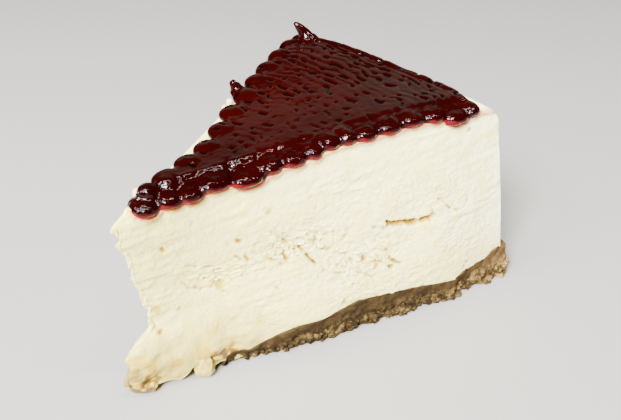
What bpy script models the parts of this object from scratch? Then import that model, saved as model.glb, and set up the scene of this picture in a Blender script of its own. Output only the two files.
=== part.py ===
"""One slice of baked cheesecake: crumb base, cheese filling, piped berry topping.

Metres, +Z up.  The slice points along -X, its rim is at +X and the cut face
that shows most is on the -Y side.  The origin is on the flat underside, half
way between the tip of the wedge and the foot of the rim.
"""
import math
import random

import bmesh
import bpy
from mathutils import Vector, noise

# Whole cake; a pair is the stretch, from the apex, over which something comes in
CAKE_RADIUS = 0.1200
HALF_ANGLE = math.radians(22.0)
RIM_HEIGHT = 0.0612
TIP_HEIGHT = 0.0558
SINK_STRETCH = (0.004, 0.085)
RIM_SETBACK = 0.0022
RIM_LEAN = 0.0090
RIM_ROUND = 0.0045
RIM_ROUND_DEPTH = 0.6 * RIM_ROUND

# Crumb base
BASE_THICKNESS = 0.0092
BASE_START = 0.0190
BASE_RAMP = 0.0180
BASE_EDGE = BASE_START + 0.45 * BASE_RAMP
BASE_MIN = 0.0010
BASE_GRID = (44, 9, 3)
RAMP_SLACK = 0.0030
LEDGE = 0.0044
LEDGE_TAPER = 0.6
LEDGE_FADE = (0.050, 0.105)
CRUMB_DEPTH = 0.0016
CRUMB_SIZE = 0.0050
CRUMB_SHOULDER = 0.0012

# Filling; the tip's waves are reach out of the wedge, height, spread
FILLING_GRID = (34, 8, 11)
TIP_START = 0.0016
TIP_HALF_WIDTH = 0.0019
TIP_FALLOFF = 0.0300
TIP_FOOT = (0.0120, 0.0095, 0.0080)
TIP_NECK = (-0.0028, 0.0240, 0.0070)
TIP_LIP = (0.0054, 0.0480, 0.0100)
FLARE = 0.0066
FLARE_STRETCH = (0.012, 0.048)
FLARE_FADE = (0.085, 0.118)
FLARE_LOSS = 0.65
LUMP_REACH = 0.0034
LUMP_ALONG = (0.015, 0.008)
LUMP_UP = (0.002, 0.008)
TEAR_DEPTH = 0.0011
TEAR_SIZE = 0.0085
TEAR_DRAG = (0.5, 0.5, 1.4)
TEAR_FADE = 0.010

# Topping
STROKES = 26
STROKE_STEPS = 14
STRING_RADIUS = 0.0026
STRING_WAVER = 0.18
STRING_WANDER = 0.0009
STRING_REST = 0.75 * STRING_RADIUS
TURN_SHARPNESS = 0.94
SHEET_GRID = (40, 14, 1)
SHEET_DEPTH = 0.0022
SHEET_SINK = 0.0015
SHEET_START = 0.0040
TOPPING_START = 0.0035
TOPPING_END = 0.1020
STROKE_LEAN = 0.0060
EDGE_REACH = 0.0004
EDGE_DROOP = 0.0014
EDGE_WIDTH = 0.0045
LOBE_SWELL = 0.22
LOBE_WIDTH = 0.0060
FAR_INSET = 0.0030
FAR_INSET_FADE = (0.045, 0.085)
NARROWEST = 0.0020
CORNER_RISE = 0.0044
CORNER_ACROSS = (-0.015, 0.030)
CORNER_STRETCH = (0.050, TOPPING_END)
TALL_PEAK = {"r": 0.1010, "v": 0.84, "rise": 0.0110, "width": 0.0062, "lean": 0.0034}
LOW_PEAK = {"r": 0.0600, "v": 0.97, "rise": 0.0075, "width": 0.0052, "lean": 0.0012}
PEAK_STEPS = 8
PEAK_TAPER = 0.72
TOPPING_VOXEL = 0.0008
TOPPING_FACES = 5600

GAP = 0.0003
CLEARANCE_GROWTH = 1.4 * GAP
WELD = 0.00002
APEX = Vector((-CAKE_RADIUS / 2, 0.0, 0.0))


def clear_scene():
    for existing in list(bpy.data.objects):
        bpy.data.objects.remove(existing, do_unlink=True)


def make_collection(name):
    collection = bpy.data.collections.new(name)
    bpy.context.scene.collection.children.link(collection)
    return collection


def make_material(name, colour, roughness, metallic=0.0):
    material = bpy.data.materials.new(name)
    material.use_nodes = True
    shader = material.node_tree.nodes["Principled BSDF"]
    shader.inputs["Base Color"].default_value = (*colour, 1.0)
    shader.inputs["Roughness"].default_value = roughness
    shader.inputs["Metallic"].default_value = metallic
    return material


def smooth(value, low, high):
    t = min(1.0, max(0.0, (value - low) / (high - low)))
    return t * t * (3.0 - 2.0 * t)


def bump(value, centre, width):
    return math.exp(-(((value - centre) / width) ** 2))


def rim_radius(z, setback):
    """Distance from the apex to the rim, less and less towards the top."""
    rounding = max(0.0, z - (RIM_HEIGHT - RIM_ROUND)) / RIM_ROUND
    lean = RIM_LEAN * z / RIM_HEIGHT
    return CAKE_RADIUS - setback - lean - RIM_ROUND_DEPTH * rounding ** 2


def tip_shift(z):
    """Shift along X of the wedge's point at this height: out at foot and lip, in at the neck."""
    waves = (TIP_FOOT, TIP_NECK, TIP_LIP)
    return -sum(reach * bump(z, height, spread) for reach, height, spread in waves)


def top_height(r):
    """The filling sinks from the rim towards the middle of the cake."""
    return TIP_HEIGHT + (RIM_HEIGHT - TIP_HEIGHT) * smooth(r, *SINK_STRETCH)


def floor_height(r):
    """Underside of the filling: on the plate at the tip, on the base beyond it."""
    return (BASE_THICKNESS + GAP) * smooth(r, BASE_START, BASE_START + BASE_RAMP)


def base_top(r):
    """Top of the crumb base: a gap under the filling, a little more along its slope."""
    share = floor_height(r) / (BASE_THICKNESS + GAP)
    slack = GAP + RAMP_SLACK * share * (1.0 - share)
    return max(BASE_MIN, floor_height(r) - slack)


def near_flare(r, z):
    """The shown face stands out further towards its foot."""
    along = smooth(r, *FLARE_STRETCH) * (1.0 - FLARE_LOSS * smooth(r, *FLARE_FADE))
    slump = FLARE * along * (1.0 - z / RIM_HEIGHT)
    lump = LUMP_REACH * bump(r, *LUMP_ALONG) * bump(z, *LUMP_UP)
    return slump + lump


def wedge_point(u, v, z, start=TIP_START, setback=RIM_SETBACK):
    """u runs from tip to rim, v from the shown cut face (-1) to the other (+1)."""
    radius = rim_radius(z, setback)
    angle = v * HALF_ANGLE
    tip = Vector((start, v * TIP_HALF_WIDTH, z))
    rim = Vector((radius * math.cos(angle), radius * math.sin(angle), z))
    point = tip.lerp(rim, u)
    if start < BASE_EDGE / 2:
        point.x += tip_shift(z) * max(0.0, 1.0 - point.x / TIP_FALLOFF) ** 2
    outward = Vector((-math.sin(HALF_ANGLE), -math.cos(HALF_ANGLE), 0.0))
    share = max(0.0, -v) ** 3
    return point + outward * near_flare(point.xy.length, z) * share


def ragged(point, size, depth):
    """Offset of a torn surface, from smooth noise at two scales."""
    coarse = noise.noise(point / size)
    fine = noise.noise(point / (size * 0.45) + Vector((3.1, 7.7, 1.3)))
    return depth * (coarse + 0.5 * fine)


def grid_block(name, cuts):
    """A cube of side 1 on the origin's corner, each side cut into a grid."""
    mesh = bpy.data.meshes.new(name)
    block = bmesh.new()
    bmesh.ops.create_cube(block, size=1.0)
    bmesh.ops.translate(block, verts=block.verts, vec=(0.5, 0.5, 0.5))
    for axis, count in enumerate(cuts):
        for step in range(1, count):
            place = Vector((0.0, 0.0, 0.0))
            normal = Vector((0.0, 0.0, 0.0))
            place[axis] = step / count
            normal[axis] = 1.0
            faces = block.verts[:] + block.edges[:] + block.faces[:]
            bmesh.ops.bisect_plane(block, geom=faces, plane_co=place, plane_no=normal)
    block.to_mesh(mesh)
    block.free()
    return mesh


def finish_piece(name, mesh, collection, material):
    piece = bpy.data.objects.new(name, mesh)
    collection.objects.link(piece)
    piece.location = APEX
    mesh.materials.append(material)
    mesh.shade_smooth()
    mesh.set_sharp_from_angle(angle=math.radians(50))
    return piece


def outward_of(u, v):
    """Rough outward direction of the block's side that this grid point is on."""
    if u > 0.999:
        return Vector((math.cos(v * HALF_ANGLE), math.sin(v * HALF_ANGLE), 0.0))
    if abs(v) > 0.999:
        return Vector((-math.sin(HALF_ANGLE), v * math.cos(HALF_ANGLE), 0.0))
    if u < 0.001:
        return Vector((-1.0, 0.0, 0.0))
    return Vector((0.0, 0.0, 0.0))


def make_base(collection, material, clearance):
    mesh = grid_block("biscuit_base", BASE_GRID)
    for vertex in mesh.vertices:
        u, across, height = vertex.co
        v = across * 2.0 - 1.0
        place = wedge_point(u, v, 0.0, start=BASE_EDGE, setback=0.0)
        r = place.xy.length
        z = base_top(r) * height
        place = wedge_point(u, v, z, start=BASE_EDGE, setback=0.0)
        side = outward_of(u, v)
        crumbs = ragged(place, CRUMB_SIZE, CRUMB_DEPTH)
        ledge = LEDGE * (1.0 - LEDGE_TAPER * height) * (1.0 - smooth(r, *LEDGE_FADE))
        place += side * (crumbs + ledge)
        if height > 0.999 and side.length > 0.5:
            place.z -= CRUMB_SHOULDER
        vertex.co = place
    piece = finish_piece("biscuit_base", mesh, collection, material)
    seat_against(piece, clearance)
    return piece


def make_filling(collection, material):
    mesh = grid_block("cheese_filling", FILLING_GRID)
    for vertex in mesh.vertices:
        u, across, height = vertex.co
        v = across * 2.0 - 1.0
        level = wedge_point(u, v, RIM_HEIGHT)
        low = floor_height(wedge_point(u, v, BASE_THICKNESS).xy.length)
        high = top_height(level.xy.length)
        z = low + (high - low) * height
        place = wedge_point(u, v, z)
        side = outward_of(u, v)
        dragged = place * Vector(TEAR_DRAG)
        tear = ragged(dragged, TEAR_SIZE, TEAR_DEPTH) * smooth(high - z, 0.0, TEAR_FADE)
        vertex.co = place + side * tear
    return finish_piece("cheese_filling", mesh, collection, material)


def topping_place(r, v):
    """A point on top of the filling; strokes lean and bow towards the rim."""
    share = r / TOPPING_END
    lean = STROKE_LEAN * 2.0 * share * (1.0 - share)
    near_side = Vector((math.cos(HALF_ANGLE), -math.sin(HALF_ANGLE), 0.0)) * (r - lean)
    far_side = Vector((math.cos(HALF_ANGLE), math.sin(HALF_ANGLE), 0.0)) * (r + lean)
    place = near_side.lerp(far_side, (v + 1.0) / 2.0)
    sagitta = TOPPING_END * (1.0 - math.cos(HALF_ANGLE)) * share ** 2
    place.x += sagitta * (1.0 - v * v)
    rise = CORNER_RISE * smooth(place.y, *CORNER_ACROSS) * smooth(r, *CORNER_STRETCH)
    place.z = top_height(place.xy.length) + rise
    return place


def far_inset(r):
    """The jelly stops short of the far edge towards the tip, where filling shows."""
    return FAR_INSET * (1.0 - smooth(r, *FAR_INSET_FADE))


def half_width_at(r):
    return max(NARROWEST, r * math.sin(HALF_ANGLE))


def piping_route():
    """One string laid to and fro across the slice, turning just past both cut edges."""
    rng = random.Random(4)
    reach = [1.0 + rng.uniform(-0.4, 1.0) for _ in range(STROKES + 2)]
    route = []
    for index in range(STROKES * STROKE_STEPS + 1):
        t = index / STROKE_STEPS
        swing = math.asin(TURN_SHARPNESS * math.cos(math.pi * t)) / math.asin(TURN_SHARPNESS)
        r = TOPPING_START + (TOPPING_END - TOPPING_START) * t / STROKES
        half_width = half_width_at(r)
        over = EDGE_REACH * reach[round(t)] / half_width
        if swing < 0.0:
            over -= far_inset(r) / half_width
        v = -swing * (1.0 + over)
        place = topping_place(r, v)
        wander_x = noise.noise(place / 0.011)
        wander_y = noise.noise(place / 0.013 + APEX * 50)
        place += Vector((wander_x, wander_y, 0.0)) * STRING_WANDER
        droop = EDGE_DROOP * smooth(abs(v), 1.0 - EDGE_WIDTH / half_width, 1.0 + over)
        place.z += STRING_REST - droop
        swell = LOBE_SWELL * smooth(abs(v), 1.0 - LOBE_WIDTH / half_width, 1.0)
        route.append((place, 1.0 + swell + STRING_WAVER * noise.noise(place / 0.006)))
    return route


def curve_mesh(name, spline_points, depth, resolution):
    """Closed tube along the points, each with its share of the full radius."""
    curve = bpy.data.curves.new(name, "CURVE")
    curve.dimensions = "3D"
    curve.bevel_depth = depth
    curve.bevel_resolution = resolution
    curve.use_fill_caps = True
    spline = curve.splines.new("POLY")
    spline.points.add(len(spline_points) - 1)
    for slot, (place, share) in zip(spline.points, spline_points):
        slot.co = (*place, 1.0)
        slot.radius = share
    holder = bpy.data.objects.new(name, curve)
    bpy.context.scene.collection.objects.link(holder)
    shaped = holder.evaluated_get(bpy.context.evaluated_depsgraph_get())
    mesh = bpy.data.meshes.new_from_object(shaped)
    bpy.data.objects.remove(holder, do_unlink=True)
    bpy.data.curves.remove(curve)
    welded = bmesh.new()
    welded.from_mesh(mesh)
    bmesh.ops.remove_doubles(welded, verts=welded.verts, dist=WELD)
    welded.to_mesh(mesh)
    welded.free()
    return mesh


def sheet_mesh():
    """The jelly under the strings, covering the filling up to its edges."""
    mesh = grid_block("jelly_sheet", SHEET_GRID)
    for vertex in mesh.vertices:
        u, across, height = vertex.co
        r = SHEET_START + (TOPPING_END - SHEET_START) * u
        far_edge = 1.0 - far_inset(r) / half_width_at(r)
        place = topping_place(r, min(across * 2.0 - 1.0, far_edge))
        place.z += SHEET_DEPTH if height > 0.5 else -SHEET_SINK
        vertex.co = place
    return mesh


def peak_mesh(name, r, v, rise, width, lean):
    """A pulled-up tail where the nozzle left the jelly."""
    foot = topping_place(r, v)
    points = []
    for step in range(PEAK_STEPS + 1):
        t = step / PEAK_STEPS
        offset = Vector((-lean * t ** 2, lean * t ** 2, rise * t))
        points.append((foot + offset, 1.0 - PEAK_TAPER * t ** 0.7))
    return curve_mesh(name, points, width / 2, 3)


def make_topping(collection, material, clearance):
    parts = [
        curve_mesh("string", piping_route(), STRING_RADIUS, 2),
        sheet_mesh(),
        peak_mesh("tall_peak", **TALL_PEAK),
        peak_mesh("low_peak", **LOW_PEAK),
    ]
    joined = bmesh.new()
    for part in parts:
        joined.from_mesh(part)
        bpy.data.meshes.remove(part)
    mesh = bpy.data.meshes.new("berry_topping")
    joined.to_mesh(mesh)
    joined.free()
    piece = finish_piece("berry_topping", mesh, collection, material)

    fuse = piece.modifiers.new("Fuse", "REMESH")
    fuse.mode = "VOXEL"
    fuse.voxel_size = TOPPING_VOXEL
    relax = piece.modifiers.new("Relax", "SMOOTH")
    relax.factor = 0.5
    relax.iterations = 2
    apply_modifiers(piece)

    thin = piece.modifiers.new("Thin", "DECIMATE")
    thin.ratio = min(1.0, TOPPING_FACES / (2.0 * len(piece.data.polygons)))
    apply_modifiers(piece)

    seat_against(piece, clearance)
    return piece


def make_clearance(filling, collection):
    """The filling grown by the gap, to cut what touches it."""
    cutter = filling.copy()
    cutter.data = filling.data.copy()
    cutter.name = "filling_clearance"
    collection.objects.link(cutter)
    cutter.hide_render = True
    cutter.display_type = "WIRE"
    swell = cutter.modifiers.new("Swell", "DISPLACE")
    swell.strength = CLEARANCE_GROWTH
    swell.mid_level = 0.0
    return cutter


def seat_against(piece, clearance):
    """Cut the piece back so that it just clears the filling."""
    material = piece.data.materials[0]
    seat = piece.modifiers.new("Seat", "BOOLEAN")
    seat.operation = "DIFFERENCE"
    seat.object = clearance
    seat.solver = "EXACT"
    apply_modifiers(piece)
    drop_scraps(piece.data)
    piece.data.materials.clear()
    piece.data.materials.append(material)


def apply_modifiers(piece):
    shaped = piece.evaluated_get(bpy.context.evaluated_depsgraph_get())
    mesh = bpy.data.meshes.new_from_object(shaped)
    piece.modifiers.clear()
    piece.data = mesh


def drop_scraps(mesh):
    """Keep only the largest body that a cut has left."""
    body = bmesh.new()
    body.from_mesh(mesh)
    bmesh.ops.remove_doubles(body, verts=body.verts, dist=WELD)
    waiting = set(body.verts)
    islands = []
    while waiting:
        island = {waiting.pop()}
        frontier = list(island)
        while frontier:
            vertex = frontier.pop()
            for edge in vertex.link_edges:
                other = edge.other_vert(vertex)
                if other in waiting:
                    waiting.remove(other)
                    island.add(other)
                    frontier.append(other)
        islands.append(island)
    islands.sort(key=len)
    for island in islands[:-1]:
        bmesh.ops.delete(body, geom=list(island), context="VERTS")
    body.to_mesh(mesh)
    body.free()


def main():
    clear_scene()
    parts = make_collection("baked_cheesecake_slice")
    crumb = make_material("biscuit_crumb", (0.42, 0.24, 0.10), 0.90)
    cheese = make_material("baked_cheese", (0.84, 0.80, 0.66), 0.55)
    jelly = make_material("berry_jelly", (0.085, 0.004, 0.008), 0.12)
    filling = make_filling(parts, cheese)
    clearance = make_clearance(filling, make_collection("cutters"))
    make_base(parts, crumb, clearance)
    make_topping(parts, jelly, clearance)


main()
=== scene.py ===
# Slice of baked cheesecake: crumb base, torn cheese filling, piped berry jelly
import math
import random

import bmesh
import bpy
from mathutils import Matrix, Vector, noise


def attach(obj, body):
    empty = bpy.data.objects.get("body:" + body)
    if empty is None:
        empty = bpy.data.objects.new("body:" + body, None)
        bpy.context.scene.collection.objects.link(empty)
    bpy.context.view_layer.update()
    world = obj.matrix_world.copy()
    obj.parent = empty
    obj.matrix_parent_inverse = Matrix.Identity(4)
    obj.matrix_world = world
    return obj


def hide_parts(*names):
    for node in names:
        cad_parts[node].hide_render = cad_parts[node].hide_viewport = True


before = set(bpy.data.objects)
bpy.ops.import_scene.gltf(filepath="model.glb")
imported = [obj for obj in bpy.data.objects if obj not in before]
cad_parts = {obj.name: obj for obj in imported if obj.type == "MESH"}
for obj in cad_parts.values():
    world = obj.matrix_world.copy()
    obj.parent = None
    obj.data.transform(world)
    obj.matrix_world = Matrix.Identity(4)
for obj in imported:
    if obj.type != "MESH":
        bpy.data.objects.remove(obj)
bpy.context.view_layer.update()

# sizes shared by the three layers, in metres; distances run from the apex of the wedge
cakeSlice = {
    "cakeRadius": 0.1200,
    "halfAngle": math.radians(22.0),
    "rimHeight": 0.0612,
    "tipHeight": 0.0558,
    "sinkStretch": (0.004, 0.085),
    "baseThickness": 0.0092,
    "baseStart": 0.0190,
    "baseRamp": 0.0180,
}
apex = Vector((-cakeSlice["cakeRadius"] / 2, 0.0, 0.0))
mm = 0.001

# top edge of the base on the shown face: (distance from the apex, height), in mm
crustLine = (
    (19.0, 0.3), (21.2, 4.4), (24.7, 4.6), (27.6, 4.2), (30.0, 4.7), (33.0, 6.5), (36.5, 7.6),
    (42.4, 9.2), (50.2, 9.3), (55.1, 10.5), (61.7, 11.6), (68.4, 10.9), (75.5, 10.4), (84.4, 9.4),
    (92.1, 7.8), (96.4, 7.0), (102.8, 9.0), (110.8, 9.4), (113.6, 11.2), (117.0, 12.4),
)
# lower edge of the cheese before the base starts, in the same pairs, with a notch and a hanging tooth
footLine = (
    (-9.0, 1.0), (-4.0, 2.2), (2.0, 2.6), (4.5, 2.2), (6.5, 1.2), (8.5, 2.4), (10.0, 3.8), (11.1, 5.4),
    (11.8, 3.4), (12.5, 1.6), (14.5, 0.6), (16.2, 0.6), (17.0, 2.8), (18.6, 3.2), (21.0, 2.8),
)
# outline of the tip: (height, distance from the apex), in mm
tipLine = (
    (0.0, -4.2), (1.0, -4.8), (3.5, -6.4), (5.4, -7.3), (9.1, -7.8), (11.1, -7.2), (13.4, -6.4),
    (14.8, -5.0), (15.9, -3.7), (17.1, -2.4), (18.5, 1.0), (19.8, 2.3), (21.7, 2.8), (23.7, 2.7),
    (26.4, 1.8), (28.8, 1.6), (31.9, 1.1), (33.7, 0.6), (36.7, -0.5), (38.8, -0.2), (40.6, -0.6),
    (44.1, -1.4), (46.2, -2.3), (47.8, -3.0), (48.6, -2.3), (50.2, -2.8), (51.7, -3.7), (52.5, -3.4),
    (53.4, -2.2), (55.1, 0.8), (58.0, 2.6),
)
# foot of the base on the plate: (distance along the cut, distance out from it), in mm
skirtLine = (
    (19.0, 0.4), (27.0, 0.7), (30.2, 0.6), (33.7, 2.6), (37.4, 3.0), (42.3, 3.6), (48.7, 3.8),
    (54.8, 4.8), (60.1, 4.0), (63.3, 3.2), (66.3, 4.0), (71.9, 3.6), (76.8, 4.5), (81.4, 4.0),
    (85.0, 3.2), (88.4, 3.7), (91.6, 4.7), (96.6, 6.2), (98.4, 4.6), (99.4, 2.2), (103.0, 2.8),
    (106.9, 2.4), (110.8, 3.7), (114.5, 3.1), (118.3, 2.6), (121.6, 1.6),
)


def readLine(points, where):
    where = where / mm
    if where <= points[0][0]:
        return points[0][1] * mm
    for (x0, y0), (x1, y1) in zip(points, points[1:]):
        if where <= x1:
            return (y0 + (y1 - y0) * (where - x0) / (x1 - x0)) * mm
    return points[-1][1] * mm


def smoothStep(value, low, high):
    t = min(1.0, max(0.0, (value - low) / (high - low)))
    return t * t * (3.0 - 2.0 * t)


def bell(value, centre, width):
    return math.exp(-(((value - centre) / width) ** 2))


def blend(a, b, share):
    return a + (b - a) * share


# noise on a flat face: how far along, how far up, and the size of the pattern both ways
def faceNoise(along, up, sizes, seed):
    return noise.noise(Vector((along / sizes[0], up / sizes[1], seed)))


# distance from the apex, negative in front of it
def signedReach(place):
    return place.xy.length if place.x > 0.0 else -place.xy.length


# one number for each vertex, for the materials to read
def storeValues(piece, name, values):
    piece.data.attributes.new(name, "FLOAT", "POINT").data.foreach_set("value", values)


def deselectAll():
    if bpy.context.mode != "OBJECT":
        bpy.ops.object.mode_set(mode="OBJECT")
    bpy.ops.object.select_all(action="DESELECT")


def selectOnly(*pieces):
    deselectAll()
    for piece in pieces:
        piece.select_set(True)
    bpy.context.view_layer.objects.active = pieces[0]


def applyAllModifiers(piece):
    selectOnly(piece)
    for modifier in list(piece.modifiers):
        bpy.ops.object.modifier_apply(modifier=modifier.name)


# doubles merged and every face turned outwards
def closeMesh(piece):
    selectOnly(piece)
    bpy.ops.object.mode_set(mode="EDIT")
    bpy.ops.mesh.select_all(action="SELECT")
    bpy.ops.mesh.remove_doubles(threshold=0.000001)
    bpy.ops.mesh.normals_make_consistent(inside=False)
    bpy.ops.object.mode_set(mode="OBJECT")


def countTriangles(piece):
    return sum(len(face.vertices) - 2 for face in piece.data.polygons)


# a cube from 0 to 1, cut into a regular grid on every side
def addGridBlock(name, cuts):
    deselectAll()
    bpy.ops.mesh.primitive_cube_add(size=1.0, location=(0.5, 0.5, 0.5))
    block = bpy.context.active_object
    block.name = name
    bpy.ops.object.transform_apply(location=True, rotation=True, scale=True)
    bpy.ops.object.mode_set(mode="EDIT")
    for axis, steps in enumerate(cuts):
        for count in steps:
            mesh = bmesh.from_edit_mesh(block.data)
            for edge in mesh.edges:
                along = edge.verts[1].co - edge.verts[0].co
                edge.select_set(abs(along[axis]) > 0.9 * along.length)
            bmesh.update_edit_mesh(block.data)
            bpy.ops.mesh.select_mode(type="EDGE")
            bpy.ops.mesh.subdivide(number_cuts=count - 1)
    bpy.ops.object.mode_set(mode="OBJECT")
    return block


# which side of the wedge a grid point is on; the top and the underside count as inside
def sideOf(u, v):
    if u > 0.9999:
        return "rim"
    if v < -0.9999:
        return "shown"
    if v > 0.9999:
        return "hidden"
    if u < 0.0001:
        return "tip"
    return "inside"


def outwardOf(side, v):
    angle = cakeSlice["halfAngle"]
    if side == "rim":
        return Vector((math.cos(v * angle), math.sin(v * angle), 0.0))
    if side == "shown":
        return Vector((-math.sin(angle), -math.cos(angle), 0.0))
    if side == "hidden":
        return Vector((-math.sin(angle), math.cos(angle), 0.0))
    if side == "tip":
        return Vector((-1.0, 0.0, 0.0))
    return Vector((0.0, 0.0, 0.0))


def topHeight(r):
    sink = smoothStep(r, *cakeSlice["sinkStretch"])
    return blend(cakeSlice["tipHeight"], cakeSlice["rimHeight"], sink)


def crustHeight(r, v):
    low = cakeSlice["baseStart"]
    plain = cakeSlice["baseThickness"] * smoothStep(r, low, low + cakeSlice["baseRamp"])
    return blend(plain, readLine(crustLine, r), smoothStep(-v, 0.7, 1.0))


# Filling: the torn, knife-dragged block of cheese
filling = {
    "cuts": ((12, 20), (5, 8), (11, 11)),
    "rimSetback": 0.0022,
    "rimLean": 0.0090,
    "rimRound": 0.0045,
    "tipStart": 0.001,
    "tipHalfWidth": 0.0005,
    "tipFalloff": 0.0300,
    "footHalfWidth": 0.0018,
    "footBand": (0.010, 0.024),  # heights over which the broad foot narrows into the tip's edge
    "footEnd": 0.020,
    "footBulge": 0.0028,
    "footBulgeAt": (0.014, 0.004),  # distance from the apex, height
    "footBulgeSize": 0.008,
    "flare": 0.0066,
    "flareStretch": (0.012, 0.048),
    "flareFade": (0.085, 0.118),
    "flareLoss": 0.65,
    "streakDepth": 0.00030,
    "streakSizes": ((0.0085, 0.0019), (0.0026, 0.0012)),
    "streakPatches": (0.013, 0.009),
    "flakeDepth": 0.00090,
    "flakeSizes": ((0.0090, 0.0026), (0.0034, 0.0013)),
    "waveDepth": 0.0005,
    "waveSizes": (0.021, 0.013),
    "raggedSizes": (0.0011, 0.0030),  # how ragged the borders of cracks and pits are
    "gapSize": 0.0019,  # how often a crack breaks off
    "crackReach": (3.0, 4.0),  # in mm, along and up, past which a crack isn't looked for
    "deepestCrack": 0.0018,
    "lumpDepth": 0.0013,
    "lumpSizes": (0.0065, 0.0030),
    "chipDepth": 0.00080,
    "chipSizes": (0.0011, 0.0036),
    "rimSwell": 0.00075,
    "bleedDepths": (0.0011, 0.0026),
}


def rimRadius(z, setback):
    lean = filling["rimLean"] * z / cakeSlice["rimHeight"]
    rounding = max(0.0, z - (cakeSlice["rimHeight"] - filling["rimRound"])) / filling["rimRound"]
    return cakeSlice["cakeRadius"] - setback - lean - 0.6 * filling["rimRound"] * rounding ** 2


def shownFlare(r, z):
    along = smoothStep(r, *filling["flareStretch"])
    along *= 1.0 - filling["flareLoss"] * smoothStep(r, *filling["flareFade"])
    slump = filling["flare"] * along * (1.0 - z / cakeSlice["rimHeight"])
    bulgeR, bulgeZ = filling["footBulgeAt"]
    size = filling["footBulgeSize"]
    return slump + filling["footBulge"] * bell(r, bulgeR, size) * bell(z, bulgeZ, size)


# u runs from the tip to the rim, v from the shown face (-1) to the hidden one (+1)
def wedgePoint(u, v, z):
    radius = rimRadius(z, filling["rimSetback"])
    angle = v * cakeSlice["halfAngle"]
    half = blend(filling["footHalfWidth"], filling["tipHalfWidth"], smoothStep(z, *filling["footBand"]))
    nose = half * (1.0 - math.sqrt(max(0.0, 1.0 - v * v)))
    tip = Vector((filling["tipStart"] + nose, v * half, z))
    rim = Vector((radius * math.cos(angle), radius * math.sin(angle), z))
    point = tip.lerp(rim, u)
    lean = readLine(tipLine, z) - filling["tipStart"]
    point.x += lean * max(0.0, 1.0 - point.x / filling["tipFalloff"]) ** 2
    share = max(0.0, -v) ** 3
    return point + outwardOf("shown", v) * shownFlare(point.xy.length, z) * share


# marks on the shown face: open cracks as (r, z) points in mm, then width, depth, stain
cracks = (
    (((66.8, 33.8), (68.7, 33.0), (70.8, 32.7), (71.0, 32.0)), 0.45, 0.5, 0.45),
    (((72.3, 33.4), (74.7, 32.7), (77.0, 32.6), (79.8, 31.8), (82.2, 31.5), (84.6, 31.5), (86.4, 31.6),
      (88.2, 31.9)), 1.1, 1.8, 1.0),
    (((87.1, 34.4), (87.8, 32.2)), 0.45, 0.5, 0.35),
    (((89.4, 37.0), (91.4, 35.5), (92.1, 34.3), (93.7, 32.8), (95.7, 31.7), (97.3, 31.3)), 0.55, 0.7, 0.5),
    (((97.3, 31.3), (99.2, 32.1), (100.2, 33.8), (100.0, 36.6)), 0.5, 0.6, 0.35),
    (((36.7, 40.4), (39.3, 38.1), (41.4, 35.4), (43.2, 32.8)), 0.7, 1.0, 0.3),
    (((40.2, 39.1), (43.2, 36.8), (46.1, 35.4)), 0.6, 0.9, 0.22),
    (((35.6, 36.2), (38.3, 34.7), (41.0, 33.0)), 0.5, 0.7, 0.2),
    (((39.8, 32.7), (40.5, 30.7)), 0.7, 0.9, 0.8),
    (((44.4, 33.7), (46.0, 31.4), (47.4, 29.2), (48.9, 27.4)), 0.55, 1.1, 0.9),
    (((35.8, 32.1), (37.4, 31.1), (39.0, 29.6), (41.0, 29.4)), 0.6, 0.6, 0.4),
    (((49.3, 35.4), (49.4, 32.2)), 0.5, 0.7, 0.6),
    (((51.2, 31.4), (52.7, 30.6), (53.6, 31.0)), 0.55, 0.8, 0.75),
    (((54.8, 36.0), (54.6, 31.3)), 0.45, 0.5, 0.35),
    (((54.8, 29.1), (57.7, 27.9), (60.7, 26.7)), 0.8, 0.9, 0.35),
    (((59.5, 26.4), (60.4, 23.8)), 0.6, 0.6, 0.35),
    (((66.6, 22.6), (68.6, 22.6), (70.6, 21.1), (72.7, 19.4)), 0.6, 0.8, 0.6),
    (((71.6, 25.4), (72.0, 23.6), (73.0, 21.4), (76.1, 19.4)), 0.7, 0.9, 0.8),
    (((50.9, 24.5), (54.0, 22.9), (57.4, 21.6)), 0.6, 0.7, 0.25),
    (((55.6, 25.0), (59.4, 22.2), (63.9, 19.5), (67.2, 17.4)), 0.5, 0.8, 0.15),
    (((12.5, 30.3), (13.4, 28.3), (16.8, 27.5), (19.6, 27.1)), 0.55, 0.7, 0.45),
    (((18.0, 30.2), (22.5, 28.7)), 0.35, 0.6, 0.2),
    (((20.9, 32.0), (22.3, 31.9)), 0.45, 0.6, 0.6),
    (((24.1, 28.9), (25.6, 27.6)), 0.4, 0.5, 0.3),
    (((22.2, 25.1), (24.0, 24.3)), 0.4, 0.5, 0.35),
    (((26.7, 35.3), (28.0, 34.0)), 0.45, 0.6, 0.6),
    (((29.2, 34.7), (30.1, 33.2)), 0.6, 0.7, 0.7),
    (((14.0, 35.4), (16.6, 34.5)), 0.5, 0.6, 0.2),
    (((18.6, 33.6), (20.4, 33.1)), 0.5, 0.7, 0.3),
    (((104.5, 26.6), (108.9, 24.8)), 0.5, 0.6, 0.25),
)
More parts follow.
